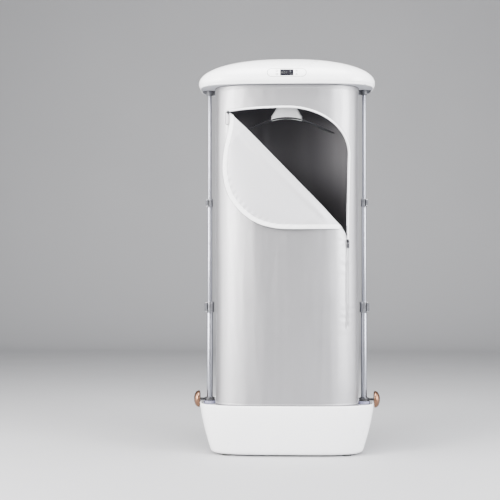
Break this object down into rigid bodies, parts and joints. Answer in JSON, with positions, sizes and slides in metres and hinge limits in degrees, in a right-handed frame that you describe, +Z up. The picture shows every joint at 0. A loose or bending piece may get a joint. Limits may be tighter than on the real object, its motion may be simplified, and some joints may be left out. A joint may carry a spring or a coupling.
{
  "type": "steam ironing machine",
  "caption": "Tall garment steaming and drying cabinet: a zipped fabric tube on telescoping poles between a steam base with a rear water tank and a domed blower lid.",
  "frame": {"origin": "on the floor, under the middle of the base", "axes": "+X to the viewer's right seen from the front, -Y is the front with the display and door, +Z up"},
  "size_m": [0.782, 0.4, 1.642],
  "materials": {
    "gloss_white": "glossy moulded housing, white",
    "satin_grey": "satin moulding, cool grey",
    "lavender_grey": "satin ribbed moulding, lavender grey",
    "dark_plastic": "black moulding",
    "chrome": "polished chrome tube",
    "brushed_steel": "brushed steel",
    "rose_gold": "rose gold plated metal",
    "rubber": "matt black rubber",
    "pearl_fabric": "pearl silver coated cloth with a satin sheen",
    "flap_fabric": "pale grey inner face of the door cloth",
    "lining_fabric": "dark grey coated lining cloth",
    "zip_tape": "pale woven zip tape",
    "screen_glass": "black gloss display window",
    "board_green": "green circuit board",
    "tank_clear": "smoke grey moulded tank",
    "cast_aluminium": "cast aluminium",
    "silicone": "milky silicone"
  },
  "bodies": {
    "base": {"base_housing": "gloss_white", "base_floor": "satin_grey", "base_deck": "satin_grey", "foot_front_left": "rubber", "foot_front_right": "rubber", "foot_back_left": "rubber", "foot_back_right": "rubber", "collar_nut_left": "lavender_grey", "collar_nut_right": "lavender_grey", "clamp_ring_left": "dark_plastic", "clamp_ring_right": "dark_plastic", "lower_pole_left": "chrome", "lower_pole_right": "chrome", "lower_clamp_left": "brushed_steel", "lower_clamp_right": "brushed_steel", "steam_generator": "cast_aluminium", "water_pump": "dark_plastic", "water_hose": "silicone", "steam_hose": "silicone", "steam_nozzle": "satin_grey", "power_inlet": "dark_plastic", "bottom_hoop": "brushed_steel", "fabric_cover": "pearl_fabric", "inner_lining": "lining_fabric", "door_zip": "zip_tape"},
    "lid": {"lid_shell": "gloss_white", "lid_tray": "satin_grey", "control_panel": "gloss_white", "display_window": "screen_glass", "control_board": "board_green", "fan_housing": "dark_plastic", "fan_motor": "brushed_steel", "air_heater": "cast_aluminium", "air_duct": "gloss_white", "hanger_bar": "dark_plastic", "pole_bracket_left": "satin_grey", "pole_bracket_right": "satin_grey", "upper_pole_left": "chrome", "upper_pole_right": "chrome", "top_hoop": "brushed_steel"},
    "impeller": {"fan_impeller": "dark_plastic"},
    "middle_left": {"middle_pole_left": "chrome", "upper_clamp_left": "brushed_steel"},
    "middle_right": {"middle_pole_right": "chrome", "upper_clamp_right": "brushed_steel"},
    "lower_lever_left": {"lower_lever_left": "satin_grey"},
    "lower_lever_right": {"lower_lever_right": "satin_grey"},
    "upper_lever_left": {"upper_lever_left": "satin_grey"},
    "upper_lever_right": {"upper_lever_right": "satin_grey"},
    "knob_left": {"side_knob_left": "rose_gold", "knob_stem_left": "dark_plastic"},
    "knob_right": {"side_knob_right": "rose_gold", "knob_stem_right": "dark_plastic"},
    "tank": {"water_tank": "tank_clear"},
    "cap": {"tank_cap": "silicone"},
    "flap": {"door_flap": "flap_fabric"},
    "right_slider": {"right_zip_slider": "brushed_steel"},
    "right_pull": {"right_zip_pull": "brushed_steel"},
    "left_slider": {"left_zip_slider": "brushed_steel"},
    "left_pull": {"left_zip_pull": "brushed_steel"}
  },
  "joints": [
    {"name": "lid_slide", "type": "slide", "parent": "base", "child": "lid", "axis": [0, 0, 1], "range_m": [-0.76, 0], "deforming": ["fabric_cover", "inner_lining", "door_zip", "door_flap"]},
    {"name": "middle_left_slide", "type": "slide", "parent": "base", "child": "middle_left", "axis": [0, 0, 1], "range_m": [-0.38, 0]},
    {"name": "middle_right_slide", "type": "slide", "parent": "base", "child": "middle_right", "axis": [0, 0, 1], "range_m": [-0.38, 0]},
    {"name": "lower_lever_left_hinge", "type": "hinge", "parent": "base", "child": "lower_lever_left", "pos_m": [-0.33603, -0.01925, 0.606], "axis": [0, 0, 1], "range_deg": [0, 100]},
    {"name": "upper_lever_left_hinge", "type": "hinge", "parent": "middle_left", "child": "upper_lever_left", "pos_m": [-0.33338, -0.01501, 1.044], "axis": [0, 0, 1], "range_deg": [0, 100]},
    {"name": "knob_left_turn", "type": "hinge", "parent": "base", "child": "knob_left", "pos_m": [-0.3655, 0, 0.21935], "axis": [-1, 0, 0], "continuous": true},
    {"name": "lower_lever_right_hinge", "type": "hinge", "parent": "base", "child": "lower_lever_right", "pos_m": [0.33603, -0.01925, 0.606], "axis": [0, 0, -1], "range_deg": [0, 100]},
    {"name": "upper_lever_right_hinge", "type": "hinge", "parent": "middle_right", "child": "upper_lever_right", "pos_m": [0.33338, -0.01501, 1.044], "axis": [0, 0, -1], "range_deg": [0, 100]},
    {"name": "knob_right_turn", "type": "hinge", "parent": "base", "child": "knob_right", "pos_m": [0.3655, 0, 0.21935], "axis": [1, 0, 0], "continuous": true},
    {"name": "flap_fold", "type": "hinge", "parent": "base", "child": "flap", "pos_m": [0.00485, -0.158, 1.1594], "axis": [-0.6974, 0, 0.7166], "range_deg": [0, 165]},
    {"name": "tank_slide", "type": "slide", "parent": "base", "child": "tank", "axis": [0, 1, 0], "range_m": [0, 0.17]},
    {"name": "cap_lift", "type": "slide", "parent": "tank", "child": "cap", "axis": [0, 0, 1], "range_m": [0, 0.03]},
    {"name": "impeller_spin", "type": "hinge", "parent": "lid", "child": "impeller", "pos_m": [0, 0, 1.5593], "axis": [0, 0, 1], "continuous": true},
    {"name": "right_zip_slide", "type": "slide", "parent": "middle_right", "child": "right_slider", "axis": [0, 0, 1], "range_m": [-0.25, 0.2]},
    {"name": "right_pull_swing", "type": "hinge", "parent": "right_slider", "child": "right_pull", "pos_m": [0.25072, -0.14042, 0.88], "axis": [-0.8519, -0.5237, 0], "range_deg": [0, 140]},
    {"name": "left_zip_follow", "type": "slide", "parent": "base", "child": "left_slider", "axis": [0, 0, 1], "range_m": [-0.7, 0]},
    {"name": "left_pull_swing", "type": "hinge", "parent": "left_slider", "child": "left_pull", "pos_m": [-0.24229, -0.1452, 1.406], "axis": [-0.8844, 0.4667, 0], "range_deg": [0, 140]}
  ],
  "couplings": [
    {"joint": "middle_left_slide", "follows": "lid_slide", "ratio": 0.5},
    {"joint": "middle_right_slide", "follows": "lid_slide", "ratio": 0.5},
    {"joint": "left_zip_follow", "follows": "lid_slide", "ratio": 0.915}
  ]
}
